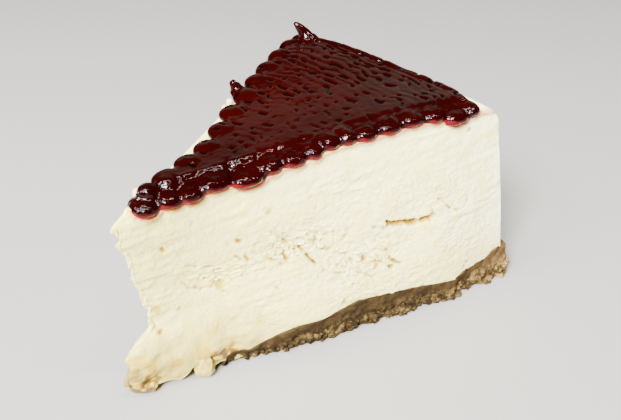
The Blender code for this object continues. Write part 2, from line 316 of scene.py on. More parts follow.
# small pits and stained spots: (r, z, radius, depth, stain), in mm
pits = (
    (21.1, 28.0, 2.2, 0.5, 0.6), (21.8, 26.8, 1.2, 0.4, 0.5), (8.2, 42.6, 1.0, 0.5, 0.9),
    (27.7, 39.9, 1.0, 0.5, 1.0), (15.9, 48.6, 1.3, 0.05, 0.3), (36.1, 46.8, 1.6, 0.05, 0.45),
    (48.3, 48.3, 1.1, 0.05, 0.2), (27.9, 42.0, 1.5, 0.05, 0.25), (19.1, 44.4, 1.1, 0.05, 0.2),
    (99.0, 56.4, 1.0, 0.2, 0.45), (4.2, 24.6, 2.2, 0.1, 0.45), (10.4, 23.2, 0.45, 0.6, 0.6),
    (10.3, 22.3, 0.9, 0.1, 0.45), (2.3, 19.9, 1.7, 0.2, 0.8), (4.2, 17.5, 1.2, 0.4, 0.9),
    (31.8, 13.4, 1.0, 0.1, 0.4), (37.1, 22.9, 1.1, 0.1, 0.4), (56.9, 12.7, 1.2, 0.3, 0.5),
    (60.2, 17.6, 0.6, 0.5, 0.5), (91.5, 31.5, 0.5, 0.5, 0.5), (64.0, 24.4, 1.5, 0.9, 0.85),
    (68.2, 21.1, 1.5, 0.4, 0.45), (72.7, 19.4, 1.3, 0.8, 0.85), (52.4, 35.7, 1.0, 0.3, 0.3),
    (59.1, 35.1, 0.8, 0.4, 0.3), (58.2, 33.1, 0.9, 0.5, 0.35), (56.9, 24.0, 0.8, 0.5, 0.4),
    (101.7, 11.5, 0.7, 0.5, 0.6), (100.5, 10.1, 0.7, 0.5, 0.6), (7.7, 40.9, 1.8, 0.05, 0.2),
    (32.0, 37.4, 0.7, 0.5, 0.3), (25.0, 39.4, 0.8, 0.3, 0.25), (42.5, 24.8, 0.5, 0.5, 0.4),
    (68.0, 28.8, 0.7, 0.5, 0.3), (57.1, 21.7, 0.5, 0.6, 0.5), (17.2, 5.4, 2.6, 0.5, 1.9),
    (20.4, 5.4, 2.4, 0.4, 1.8), (23.1, 5.2, 1.8, 0.3, 1.5), (-4.6, 4.6, 2.6, 0.4, 1.8),
    (-2.2, 3.9, 1.8, 0.3, 1.5), (2.6, 4.2, 2.0, 0.3, 1.2),
)


def distanceToPath(where, points):
    best = 99.0
    for start, end in zip(points, points[1:]):
        a = Vector(start)
        b = Vector(end)
        t = min(1.0, max(0.0, (where - a).dot(b - a) / (b - a).length_squared))
        best = min(best, (where - a.lerp(b, t)).length)
    return best


# how far the shown face is cut in at a mark, and how much stain lies there
def marksAt(r, z):
    depth = 0.0
    stain = 0.0
    where = Vector((r, z)) / mm
    small, large = filling["raggedSizes"]
    ragged = noise.noise(Vector((r, z, 0.0)) / small) + 0.6 * noise.noise(Vector((r, z, 0.3)) / large)
    broken = min(1.0, max(0.0, 0.75 + 0.9 * noise.noise(Vector((r, z, 0.7)) / filling["gapSize"])))
    reach, rise = filling["crackReach"]
    for points, width, cut, strength in cracks:
        if not (points[0][0] - reach < where.x < points[-1][0] + reach):
            continue
        if min(abs(where.y - height) for _, height in points) > rise:
            continue
        near = distanceToPath(where, points)
        share = max(0.0, 1.0 - near / (width * (1.0 + 0.8 * ragged)) if ragged > -0.9 else 0.0)
        depth = max(depth, cut * min(1.0, share * 1.5) * mm * broken)
        stain = max(stain, strength * min(1.0, share * 1.7) * broken)
    for pitR, pitZ, radius, cut, strength in pits:
        near = math.hypot(where.x - pitR, where.y - pitZ)
        if near > 3.0 * radius:
            continue
        share = max(0.0, 1.0 - near / (radius * max(0.2, 1.0 + 0.8 * ragged)))
        depth = max(depth, cut * min(1.0, share * 1.5) * mm)
        stain = max(stain, strength * min(1.0, share * 1.5))
    return depth, stain


# overlapping flakes pulled along one direction: slow rise, then a sudden step down
def flakesAlong(r, z, lean, seed):
    a = r * math.cos(lean) + z * math.sin(lean)
    b = z * math.cos(lean) - r * math.sin(lean)
    coarse, fine = filling["flakeSizes"]
    level = 1.5 * faceNoise(a, b, coarse, seed)
    level += 0.38 * faceNoise(a, b, fine, seed + 5.0)
    level *= 2.2
    part = level - math.floor(level)
    return part ** 1.5


# where the knife tore the cheese: (r, z, spread along, spread up, lean, strength), in mm and degrees
tears = (
    (43.0, 34.5, 15.0, 6.5, -36.0, 1.0),
    (63.0, 24.5, 16.0, 6.5, -28.0, 0.9),
    (22.0, 30.5, 13.0, 4.5, -8.0, 0.75),
    (84.0, 36.0, 24.0, 13.0, 14.0, 0.42),
    (60.0, 44.0, 20.0, 8.0, 24.0, 0.35),
    (96.0, 20.0, 16.0, 9.0, 12.0, 0.5),
    (70.0, 14.0, 24.0, 5.0, -6.0, 0.5),
    (34.0, 16.0, 20.0, 9.0, 20.0, 0.35),
    (10.0, 44.0, 14.0, 10.0, 30.0, 0.3),
)


def tornRelief(r, z, seed):
    depth = 0.0
    hollowShade = 0.0
    for tearR, tearZ, along, up, lean, strength in tears:
        share = strength * bell(r / mm, tearR, along) * bell(z / mm, tearZ, up)
        if share > 0.03:
            part = flakesAlong(r, z, math.radians(lean), seed + lean)
            depth -= share * (1.0 - part)
            # painted shade in the gaps between the flakes
            hollowShade = max(hollowShade, share * max(0.0, 1.0 - 4.0 * part))
    level = z - 0.10 * r + 0.0015 * faceNoise(r, z, (0.016, 0.016), seed + 2.0)
    coarse, fine = filling["streakSizes"]
    streaks = faceNoise(r, level, coarse, seed)
    streaks += 0.7 * faceNoise(r, level, fine, seed + 3.0)
    streaks *= 0.25 + 1.3 * max(0.0, faceNoise(r, z, filling["streakPatches"], seed + 4.0) + 0.15)
    wave = faceNoise(r, z, filling["waveSizes"], seed + 7.0)
    relief = filling["flakeDepth"] * depth + filling["streakDepth"] * streaks + filling["waveDepth"] * wave
    return relief, hollowShade


# pink seeping from the jelly into the cheese just below the lobes
def bleedAt(r, z, high):
    below = high + jellyBorder(r) - z
    patch = 0.85 + 0.7 * faceNoise(r, z, (0.0035, 0.0015), 11.0)
    strong, faint = filling["bleedDepths"]
    spread = 0.75 * (1.0 - smoothStep(below, 0.0002, strong))
    spread += 0.25 * (1.0 - smoothStep(below, 0.0003, faint))
    return min(1.0, max(0.0, patch)) * spread * smoothStep(r, 0.001, 0.003)


# loose bits: name, place and radii in mm, turn in degrees, seed, roughness, fineness, stain
looseBits = (
    ("footTan", (-2.8, 0.2, 2.5), (4.0, 2.6, 2.4), -47.0, 3.0, 0.22, 4, 2.0),
    ("footBit", (-6.3, 1.6, 4.8), (1.2, 1.0, 1.4), 20.0, 8.0, 0.30, 3, 0.0),
    ("footHanging", (12.3, -7.9, 3.4), (2.7, 2.1, 3.8), -30.0, 5.0, 0.30, 4, 0.25),
    ("footHangingSide", (16.4, -7.5, 4.4), (4.4, 2.4, 1.9), -22.0, 9.0, 0.20, 4, 1.6),
    ("footFlake", (22.0, -9.6, 2.4), (3.8, 1.3, 2.0), -22.0, 6.0, 0.30, 4, 0.45),
    ("farBitTip", (7.4, 3.9, 56.4), (1.3, 1.0, 1.5), 10.0, 2.0, 0.35, 3, 0.2),
    ("farBitMid", (53.8, 22.2, 60.4), (1.1, 0.9, 1.2), 10.0, 4.0, 0.35, 3, 0.2),
    ("farBitSmall", (50.6, 20.8, 60.2), (0.8, 0.7, 0.8), 10.0, 7.0, 0.35, 3, 0.2),
)


# a rough lump of cheese
def addLump(name, place, radii, turn, seed, rough, fine, stain):
    deselectAll()
    bpy.ops.mesh.primitive_ico_sphere_add(subdivisions=fine, radius=1.0, location=(0.0, 0.0, 0.0))
    lump = bpy.context.active_object
    lump.name = name
    stains = []
    turning = Matrix.Rotation(math.radians(turn), 3, "Z")
    for vertex in lump.data.vertices:
        way = vertex.co.normalized()
        swell = 1.0 + rough * noise.noise(way * 1.3 + Vector((seed, 0.0, 0.0)))
        swell += 0.6 * rough * noise.noise(way * 3.1 + Vector((0.0, seed, 0.0)))
        spot = turning @ Vector([way[axis] * radii[axis] * mm for axis in range(3)]) * swell
        vertex.co = spot + Vector(place) * mm + apex
        vertex.co.z = max(0.0, vertex.co.z)
        stains.append(stain * min(1.0, max(0.0, 0.6 + 0.9 * noise.noise(way * 1.7))))
    storeValues(lump, "stain", stains)
    return lump


# where the filling starts: on the base, and before it along a ragged foot of its own
def fillingFloor(under, v):
    low = crustHeight(under.xy.length, v)
    if under.x < filling["footEnd"]:
        low = max(low, readLine(footLine, signedReach(under)) * smoothStep(-v, 0.1, 0.9))
    return low


# how far a side stands out, how much shade is painted in its hollows and how much stain lies on it
def sideRelief(side, place, r, z):
    if side == "rim":
        relief = 0.00035 * faceNoise(place.y, z, (0.011, 0.020), 3.0)
        return relief + 0.00012 * noise.noise(place / 0.0022), 0.0, 0.0
    stain = 0.0
    relief, hollowShade = tornRelief(r, z, 2.0 if side == "hidden" else 1.0)
    if side == "shown":
        cut, stain = marksAt(r, z)
        relief -= cut
        # painted shade in the cracks and pits as well
        hollowShade = max(hollowShade, 0.6 * cut / filling["deepestCrack"])
    return relief, hollowShade, stain


def makeFilling():
    block = addGridBlock("cheeseFillingTorn", filling["cuts"])
    values = {"stain": [], "hollowShade": [], "bleed": []}
    for vertex in block.data.vertices:
        u, across, height = vertex.co
        v = across * 2.0 - 1.0
        low = fillingFloor(wedgePoint(u, v, cakeSlice["baseThickness"]), v)
        high = topHeight(wedgePoint(u, v, cakeSlice["rimHeight"]).xy.length)
        z = blend(low, high, height)
        place = wedgePoint(u, v, z)
        side = sideOf(u, v)
        r = signedReach(place)
        stain = 0.0
        hollowShade = 0.0
        bleed = 0.0
        if side != "inside":
            relief, hollowShade, stain = sideRelief(side, place, r, z)
            foot = bell(z, 0.004, 0.012) * (1.0 - smoothStep(r, 0.026, 0.042))
            if side in ("shown", "tip"):  # browner in patches at the foot
                stain = max(stain, 0.7 * foot * smoothStep(noise.noise(place / 0.0052), 0.06, 0.36))
            coarse, fine = filling["lumpSizes"]
            relief += filling["lumpDepth"] * foot * noise.noise(place / coarse)
            relief += 0.5 * filling["lumpDepth"] * foot * noise.noise(place / fine)
            edge = max(0.0, 1.0 - u / 0.05) if side != "rim" else 0.0
            seeds = zip((0.3, 5.3), filling["chipSizes"])
            chips = sum(noise.noise(Vector((shift, z / size, v))) for shift, size in seeds)
            place.x -= filling["chipDepth"] * chips * edge ** 2
            relief *= blend(0.3, 1.0, smoothStep(high - z, 0.0, 0.004))
            if side == "shown" and r > 0.002:  # swells up to meet the rim of the jelly
                relief += filling["rimSwell"] * bell(z, high + jellyBorder(r) - 0.0003, 0.0008)
            place += outwardOf(side, v) * relief
            if side in ("shown", "tip"):
                bleed = bleedAt(r, z, high)
        elif height > 0.999:
            place.z += 0.0003 * noise.noise(place / 0.0042)
            bleed = 0.15
        place.z = max(0.0, place.z)
        vertex.co = place + apex
        for name, value in (("stain", stain), ("hollowShade", hollowShade), ("bleed", bleed)):
            values[name].append(value)
    for name in values:
        storeValues(block, name, values[name])
    selectOnly(block, *[addLump(*bit) for bit in looseBits])
    bpy.ops.object.join()
    closeMesh(block)
    bpy.ops.object.shade_smooth_by_angle(angle=math.radians(48.0))
    return block


# Base: pressed biscuit crumbs, ragged where the knife broke them
base = {
    "cuts": ((12, 20), (8, 9), (20,)),
    "start": 0.0195,
    "coarseDepth": 0.0008,
    "coarseSizes": (0.0050, 0.0024),
    "lumpDepth": 0.0010,
    "lumpSize": 0.0026,
    "grainDepth": 0.0005,
    "grainSize": 0.0011,
    "smearBand": (0.45, 0.75),  # share of the height over which the crumb is smeared smooth
    "skirtDepth": 0.0009,
    "skirtSize": 0.0034,
    "skirtTop": 0.35,
    "crumbs": 340,
    "crumbKinds": 5,
    "crumbSizes": (0.45, 1.25),
}


def basePoint(u, v, height):
    flat = blend(base["start"], cakeSlice["cakeRadius"], u)
    top = crustHeight(flat, v)
    radius = blend(base["start"], rimRadius(top * height, 0.0), u)
    angle = v * cakeSlice["halfAngle"]
    place = Vector((radius * math.cos(angle), radius * math.sin(angle), max(0.0004, top) * height))
    upper = shownFlare(flat, top) + 0.0010 * (1.0 - u)
    out = blend(readLine(skirtLine, flat), upper, height ** 0.8)
    return place + outwardOf("shown", v) * out * max(0.0, -v) ** 6


def crumbRelief(place, height):
    broad, narrow = base["coarseSizes"]
    coarse = noise.noise(place / broad) + 0.5 * noise.noise(place / narrow)
    lumps = 0.55 - noise.voronoi(place / base["lumpSize"])[0][0]
    grain = 0.5 - noise.voronoi(place / base["grainSize"])[0][0]
    rough = 1.0 - 0.72 * smoothStep(height, *base["smearBand"])
    push = base["coarseDepth"] * coarse + (base["lumpDepth"] * lumps + base["grainDepth"] * grain) * rough
    skirt = base["skirtDepth"] * (1.0 - smoothStep(height, 0.0, base["skirtTop"]))
    return push + skirt * noise.noise(place / base["skirtSize"] + Vector((7.0, 0.0, 0.0)))


def makeBase():
    block = addGridBlock("biscuitBaseCrumb", base["cuts"])
    heights = []
    for vertex in block.data.vertices:
        u, across, height = vertex.co
        v = across * 2.0 - 1.0
        place = basePoint(u, v, height)
        side = sideOf(u, v)
        if side != "inside":
            place += outwardOf(side, v) * crumbRelief(place, height)
        if height > 0.999:
            place.z += 0.0002
        vertex.co = place + apex
        heights.append(height)
    storeValues(block, "upper", heights)
    selectOnly(block, *addCrumbs())
    bpy.ops.object.join()
    bpy.ops.object.transform_apply(location=True, rotation=True, scale=True)
    for vertex in block.data.vertices:
        vertex.co.z = max(0.0, vertex.co.z)
    closeMesh(block)
    bpy.ops.object.shade_smooth_by_angle(angle=math.radians(40.0))
    return block


# a few kinds of crumb, copied along the lower edge of the base
def addCrumbs():
    rng = random.Random(7)
    kinds = []
    for kind in range(base["crumbKinds"]):
        deselectAll()
        bpy.ops.mesh.primitive_ico_sphere_add(subdivisions=2, radius=1.0, location=(0.0, 0.0, 0.0))
        crumb = bpy.context.active_object
        crumb.name = "crumbKind"
        for vertex in crumb.data.vertices:
            way = vertex.co.normalized()
            vertex.co = way * (1.0 + 0.45 * noise.noise(way * 1.6 + Vector((kind * 3.7, 0.0, 0.0))))
        kinds.append(crumb)
    crumbs = []
    for number in range(base["crumbs"]):
        side = rng.choices(("shown", "hidden", "rim"), (0.52, 0.26, 0.22))[0]
        height = rng.uniform(0.02, 0.5) ** 1.2
        if side == "rim":
            u, v = 1.0, rng.uniform(-1.0, 1.0)
        else:
            u, v = rng.uniform(0.03, 1.0) ** 0.9, (-1.0 if side == "shown" else 1.0)
        size = rng.uniform(*base["crumbSizes"]) * mm
        place = basePoint(u, v, height) + outwardOf(side, v) * size * rng.uniform(-0.3, 0.35)
        place.z = max(place.z, size * 0.55)
        crumb = kinds[number % len(kinds)].copy()
        crumb.data = crumb.data.copy()
        bpy.context.collection.objects.link(crumb)
        crumb.location = place + apex
        crumb.rotation_euler = [rng.uniform(0.0, math.tau) for _ in range(3)]
        crumb.scale = [size * rng.uniform(0.7, 1.2) for _ in range(3)]
        crumbs.append(crumb)
    selectOnly(*kinds)
    bpy.ops.object.delete()
    return crumbs


# Topping: one melted sheet of jelly with piped ridges, lobes along the edges, two pulled peaks
topping = {
    # lobes along the shown edge: (r, drop seen below the edge, width), in mm
    "nearLobes": (
        (5.8, 3.2, 6.2), (11.8, 2.5, 6.6), (16.9, 2.5, 6.8), (23.4, 1.5, 8.8), (32.0, 3.1, 9.2),
        (38.2, 1.5, 6.2), (44.6, 1.5, 7.6), (50.0, 1.1, 5.4), (55.0, 0.0, 5.8), (60.0, 0.0, 5.2),
        (65.6, 0.8, 7.2), (73.0, 0.8, 7.6), (80.2, 0.5, 7.2), (87.2, 0.8, 7.0), (94.2, 2.8, 8.6),
        (99.0, 1.4, 5.4),
    ),
    # round beads along the hidden edge: (r, reach past the edge, width), in mm
    "farBeads": (
        (8.0, -0.4, 5.0), (14.6, -0.6, 8.0), (22.8, -2.2, 7.8), (31.0, -3.4, 8.0), (40.4, -2.6, 8.4),
        (50.0, -1.0, 8.4), (60.2, -0.4, 8.8), (68.4, -0.3, 7.8), (76.6, -0.3, 8.2), (85.4, -0.6, 8.4),
        (93.6, -1.0, 8.0), (99.6, -2.6, 6.4),
    ),
    "lobeDepth": 0.0044,
    "lobeHeight": 0.0022,
    "lobeSquareness": 2.4,
    "beadHeight": 0.0024,
    "beadSquareness": 2.1,
    "rearRadius": 0.1000,
    "sheetTop": 0.0037,
    "cornerRise": 0.0044,
    "voxel": 0.00042,
    "settleShare": 0.5,
    "settleSteps": 4,
    "ribHeight": 0.00004,
    "pitDepth": 0.00038,
    "grooveDepth": 0.00014,
    "creaseDepth": 0.00034,
    "creaseWidth": 0.0016,
    "pitSpacing": 0.0040,
    "seenSine": 0.515,  # sine and cosine of the slope that the lobes are seen at
    "seenCosine": 0.857,
    "rimSlope": 0.67,  # how the red rim under the lobes slants
}
# pulled tails: place (r in mm, v), rise and lean to the left in mm, widths from foot to tip
peaks = (
    {"r": 99.3, "v": 0.76, "rise": 6.6, "lean": 4.4, "widths": (8.4, 7.4, 5.6, 4.4, 3.6, 3.1, 2.3, 1.1)},
    {"r": 61.0, "v": 0.95, "rise": 3.9, "lean": 1.7, "widths": (6.2, 5.4, 4.4, 3.7, 3.3, 3.0, 2.6, 1.8)},
)


def toppingPlace(r, v):
    angle = v * cakeSlice["halfAngle"]
    place = Vector((r * math.cos(angle), r * math.sin(angle), 0.0))
    rise = topping["cornerRise"] * smoothStep(place.y, -0.015, 0.030) * smoothStep(r, 0.05, 0.102)
    place.z = topHeight(r) + rise
    return place


def halfWidth(r):
    return max(0.002, r * cakeSlice["halfAngle"])


# how far a lobe is seen to reach below its centre
def lobeShown():
    return math.hypot(0.5 * topping["lobeDepth"], topping["seenCosine"] * topping["lobeHeight"])


# drop of the lobes below the edge, run on from one lobe to the next
def dropAt(r):
    return readLine([(centre, drop) for centre, drop, _ in topping["nearLobes"]], r)


# centre of a lobe: how far inside the edge, and how high over it, so that it shows the drop asked for
def lobeSeat(drop):
    inside = (3.0 - 0.45 * drop) * mm
    height = lobeShown() - topping["seenSine"] * inside - topping["seenCosine"] * drop * mm
    return inside, height / topping["seenCosine"]


# lowest height of the jelly seen on the shown face, measured from the top edge
def jellyBorder(r):
    border = 0.0004 - 0.55 * dropAt(r)
    seen = lobeShown()
    for centre, drop, width in topping["nearLobes"]:
        inside, height = lobeSeat(drop)
        left = 1.0 - ((r - 0.0005 - centre * mm) / (0.56 * width * mm)) ** 2
        if left > 0.0:
            lower = (topping["seenSine"] * inside - seen * math.sqrt(left)) / topping["seenCosine"]
            border = min(border, height + lower + 0.0002)
    return border


# the photograph's line of sight
def sightLine():
    level = math.cos(view["pitch"])
    return Vector((-math.sin(view["yaw"]) * level, math.cos(view["yaw"]) * level, -math.sin(view["pitch"])))


# a round or, with more squareness, a boxier blob
def addRound(name, place, turn, radii, squareness):
    deselectAll()
    bpy.ops.mesh.primitive_uv_sphere_add(segments=28, ring_count=18, radius=1.0, location=place + apex)
    blob = bpy.context.active_object
    blob.name = name
    for vertex in blob.data.vertices:
        total = sum(abs(axis) ** squareness for axis in vertex.co)
        vertex.co = vertex.co / total ** (1.0 / squareness)
    blob.rotation_euler.z = turn
    blob.scale = radii
    return blob


def addLobes():
    lobes = []
    angle = cakeSlice["halfAngle"]
    for centre, drop, width in topping["nearLobes"]:
        inside, height = lobeSeat(drop)
        r = centre * mm
        place = toppingPlace(r, -max(0.0, 1.0 - inside / halfWidth(r)))
        place.z += height
        turn = math.radians(10.0) - angle
        radii = (0.58 * width * mm, topping["lobeDepth"], topping["lobeHeight"])
        lobes.append(addRound("nearLobe", place, turn, radii, topping["lobeSquareness"]))
    for centre, reach, width in topping["farBeads"]:
        r = centre * mm
        across = 0.55 * width * mm
        place = toppingPlace(r, max(0.0, 1.0 + (reach * mm - across) / halfWidth(r)))
        raised = 0.5 * (place.z - topHeight(r))  # a bead is taller where the top stands up at the rear
        place.z += 0.0020 - raised
        radii = (0.56 * width * mm, across, topping["beadHeight"] + raised)
        lobes.append(addRound("farBead", place, angle, radii, topping["beadSquareness"]))
    return lobes


# the rolled edge that the lobes sit in
def addLip():
    points = []
    for step in range(70):
        r = blend(0.0070, 0.0985, step / 69)
        drop = sum(dropAt(r + shift * mm) for shift in (-3.0, 0.0, 3.0)) / 3.0
        place = toppingPlace(r, -max(0.0, 1.0 - 0.0031 / halfWidth(r)))
        place.z += 0.0012 - 0.55 * drop
        points.append((place, 0.00235 * (1.0 + 0.05 * noise.noise(place / 0.004))))
    return addTube("edgeLip", points)


# a round tube through points that have a radius each
def addTube(name, points):
    deselectAll()
    bpy.ops.curve.primitive_nurbs_path_add(radius=0.01, location=(0.0, 0.0, 0.0))
    tube = bpy.context.active_object
    tube.name = name
    line = tube.data
    line.splines.clear()
    spline = line.splines.new("POLY")
    spline.points.add(len(points) - 1)
    for slot, (place, share) in zip(spline.points, points):
        slot.co = (*(place + apex), 1.0)
        slot.radius = share
    line.bevel_depth = 1.0  # each point's own radius then counts in metres
    line.bevel_resolution = 4
    line.use_fill_caps = True
    bpy.ops.object.convert(target="MESH")
    return bpy.context.active_object


def addPeak(facts):
    foot = toppingPlace(facts["r"] * mm, facts["v"]) + Vector((0.0, 0.0, 0.0022))
    widths = facts["widths"]
    points = []
    for step in range(29):
        t = step / 28
        along = t * (len(widths) - 1)
        low = min(int(along), len(widths) - 2)
        width = blend(widths[low], widths[low + 1], along - low) * mm
        side = facts["lean"] * t ** 1.7 * mm
        offset = Vector((-0.68 * side, 0.73 * side, facts["rise"] * t * mm))  # leans left as seen
        points.append((foot + offset, width / 2))
    return addTube("pulledPeak", points)


# the thick roll along the rear, lower and thinner at both ends
def addRearRoll():
    points = []
    for step in range(60):
        t = step / 59
        v = blend(-0.90, 0.88, t)
        end = smoothStep(abs(v), 0.70, 0.90)
        place = toppingPlace(topping["rearRadius"] - 0.0012 * end, v)
        place.z += 0.0015 + 0.0003 * noise.noise(place / 0.009)
        points.append((place, 0.00255 * (1.0 + 0.06 * noise.noise(place / 0.005)) * (1.0 - 0.18 * end)))
    return addTube("rearRoll", points)


# the melted layer between the edges
def addSheet():
    sheet = addGridBlock("jellySheet", ((10, 14), (6, 8), (1,)))
    for vertex in sheet.data.vertices:
        u, across, height = vertex.co
        r = blend(0.0045, 0.1005, u)
        half = halfWidth(r)
        inset = -readLine([(bead[0], bead[1] - 2.4) for bead in topping["farBeads"]], r)
        corner = 0.0030 * max(0.0, (r - 0.096) / 0.0045) ** 2
        low = -max(0.1, 1.0 - (0.0028 + corner) / half)
        high = max(0.1, 1.0 - (inset + corner) / half)
        v = blend(low, high, across)
        place = toppingPlace(r, v)
        inside = min(across, 1.0 - across) * 2.0 * half
        inside = min(inside, (1.0 - u) * 0.096)
        rise = blend(0.0016, topping["sheetTop"], smoothStep(inside, -0.0005, 0.0030))
        place.z = place.z + rise if height > 0.5 else topHeight(r) - 0.0006
        vertex.co = place + apex
    return sheet


# the ridge under a point of the top: ridge number, with its fraction
def ridgeAt(r, share):
    near = [(lobe[0], number) for number, lobe in enumerate(topping["nearLobes"])]
    far = [(bead[0], 1.36 * number) for number, bead in enumerate(topping["farBeads"])]
    return blend(readLine(near, r), readLine(far, r), share) / mm


# lines between neighbouring lobes, along the shown edge
def lobeBorders():
    lobes = topping["nearLobes"]
    return [(a[0] + 0.5 * a[2] + b[0] - 0.5 * b[2]) / 2 * mm for a, b in zip(lobes, lobes[1:])]


# the open top at one point: how deep its pits are, which also sets the painted shade in them, and how far
# it lies below the plain sheet
def topRelief(place, r, v, across, flat, glow):
    ridge = 2.0 * ridgeAt(r, (v + 1.0) / 2.0) + 0.9 * faceNoise(r, across, (0.010, 0.006), 4.0)
    number = math.floor(ridge + 0.5)
    between = 1.0 - min(1.0, abs(ridge - number) / 0.27)  # 1 in the middle of a groove
    rear = smoothStep(r, 0.062, 0.090)
    tipward = 1.0 - smoothStep(r, 0.020, 0.036)
    dash = noise.noise(Vector((number * 5.3, across / 0.0030, 2.0)))
    dash += 0.45 * noise.noise(Vector((number * 3.1, across / 0.0015, 6.0)))
    quiet = 1.0 - 0.9 * bell(r, 0.045, 0.022) * bell(across, -0.011, 0.0075)
    share = smoothStep(dash + 0.04 * rear + 0.05 * glow - 0.15 * tipward, 0.12, 0.26) * quiet
    loose = noise.voronoi(Vector((r, across * 0.62, 0.0)) / topping["pitSpacing"])[0][0]
    stray = 1.0 - smoothStep(loose, 0.16, 0.28)  # pits away from the grooves
    chosen = smoothStep(noise.noise(place / 0.0085), -0.06, 0.08)
    # the pit share sets both the pit's depth and the painted shade in it
    pitAndShade = max(smoothStep(between, 0.15, 0.60) * share, stray * chosen * quiet * 0.9) * flat
    groove = topping["grooveDepth"] * between * (0.08 + 0.45 * rear) * flat * quiet
    drop = topping["pitDepth"] * pitAndShade + groove
    wave = 0.5 * math.cos(2.0 * math.pi * (ridge - 0.5))
    drop -= topping["ribHeight"] * wave * flat * (0.5 + 0.5 * rear) * quiet
    drop -= 0.00013 * noise.noise(place / 0.0075) + 0.00008 * noise.noise(place / 0.0028)
    return pitAndShade, drop


# relief of the melted topping, and values for the jelly's colour: painted shade in the pits, painted light
# in the thin rims and the glow patch
def weatherTopping(piece):
    values = {"pitAndShade": [], "thinGlow": [], "glow": [], "lobe": []}
    borders = lobeBorders()
    face = outwardOf("shown", -1.0)
    sight = sightLine()
    under = Vector((sight.x, sight.y, 0.45 * sight.z))  # the way the lower rim runs back, out of sight
    places = []
    for vertex in piece.data.vertices:
        place = vertex.co - apex
        up = vertex.normal.z
        r = place.xy.length
        v = math.atan2(place.y, place.x) / cakeSlice["halfAngle"]
        half = halfWidth(r)
        across = v * half
        lift = place.z - toppingPlace(r, v).z
        out = place.dot(face)
        nearEdge = 1.0 - smoothStep(half + across, 0.0028, 0.0068)
        farEdge = 1.0 - smoothStep(half - across, 0.0015, 0.0050)
        # a redder patch, painted light shining through the jelly
        glow = bell(r, 0.058, 0.024) * bell(across, 0.008, 0.013)
        # painted light shining through the thin lower rims of the near lobes and the tips of the peaks
        thinGlow = 0.0
        if v < -0.6:
            thinGlow = 1.0 - smoothStep(lift - topping["rimSlope"] * out - jellyBorder(r), 0.0, 0.0006)
        thinGlow = max(thinGlow, 0.22 * smoothStep(lift, 0.0054, 0.0080))
        pitAndShade = 0.0
        drop = 0.0
        inward = 0.0
        slide = 0.0
        if up > 0.2 and lift < 0.0064:
            flat = smoothStep(up, 0.2, 0.65) * (1.0 - nearEdge)
            pitAndShade, drop = topRelief(place, r, v, across, flat, glow)
        if nearEdge > 0.0:  # folds between the lobes
            astray = 0.0006 * noise.noise(place / 0.0030)
            gap = min(abs(r + astray - line - 0.25 * (half + across)) for line in borders)
            fold = 1.0 - smoothStep(gap, 0.0, topping["creaseWidth"])
            drop += topping["creaseDepth"] * nearEdge * fold
            inward = 0.8 * topping["creaseDepth"] * nearEdge * fold
            drop -= 0.00024 * nearEdge * noise.noise(place / 0.0022)
        if v < -0.5 and out > -0.0004 and up < 0.3:  # the under side runs back into the cheese
            hidden = 1.0 - smoothStep(-vertex.normal.dot(sight), 0.12, 0.45)
            slide = (out + 0.0004) / -under.dot(face) * hidden
        places.append(vertex.co - Vector((0.0, 0.0, drop)) - face * inward + under * slide)
        lobe = max(nearEdge, 0.6 * farEdge)
        for name, value in (("pitAndShade", pitAndShade), ("thinGlow", thinGlow), ("glow", glow), ("lobe", lobe)):
            values[name].append(value)
    for name in values:
        storeValues(piece, name, values[name])
    for vertex, place in zip(piece.data.vertices, places):
        vertex.co = place


def makeTopping():
    sheet = addSheet()
    selectOnly(sheet, addRearRoll(), addLip(), *addLobes(), *[addPeak(facts) for facts in peaks])
    bpy.ops.object.join()
    bpy.ops.object.transform_apply(location=True, rotation=True, scale=True)
    sheet.name = "berryJellyPiped"
    melt = sheet.modifiers.new("melt", "REMESH")
    melt.mode = "VOXEL"
    melt.voxel_size = topping["voxel"]
    settle = sheet.modifiers.new("settle", "SMOOTH")
    settle.factor = topping["settleShare"]
    settle.iterations = topping["settleSteps"]
    applyAllModifiers(sheet)
    weatherTopping(sheet)
    closeMesh(sheet)
    sheet.data.shade_smooth()
    return sheet


# Materials
def newMaterial(name, finish):
    material = bpy.data.materials.new(name)
    material.use_nodes = True
    tree = material.node_tree
    shader = tree.nodes["Principled BSDF"]
    for key, value in finish.items():
        shader.inputs[key].default_value = value
    return material, tree, shader


def addNode(tree, kind, **settings):
    node = tree.nodes.new(kind)
    for key, value in settings.items():
        if key in node.inputs:
            node.inputs[key].default_value = value
        else:
            setattr(node, key, value)
    return node


def objectPlace(tree):
    return addNode(tree, "ShaderNodeTexCoord").outputs["Object"]


def splitPlace(tree, coords):
    split = tree.nodes.new("ShaderNodeSeparateXYZ")
    tree.links.new(coords, split.inputs["Vector"])
    return split.outputs


def readValue(tree, name):
    return addNode(tree, "ShaderNodeAttribute", attribute_name=name).outputs["Fac"]


def addNoise(tree, coords, scale, detail=3.0, roughness=0.6):
    texture = addNode(tree, "ShaderNodeTexNoise", Scale=scale, Detail=detail, Roughness=roughness)
    tree.links.new(coords, texture.inputs["Vector"])
    return texture.outputs["Fac"]


def addRamp(tree, factor, stops):
    ramp = tree.nodes.new("ShaderNodeValToRGB")
    ends = ramp.color_ramp.elements
    for end, (position, colour) in zip((ends[0], ends[1]), (stops[0], stops[-1])):
        end.position = position
        end.color = (*colour, 1.0)
    for position, colour in stops[1:-1]:
        ends.new(position).color = (*colour, 1.0)
    tree.links.new(factor, ramp.inputs["Fac"])
    return ramp.outputs["Color"]


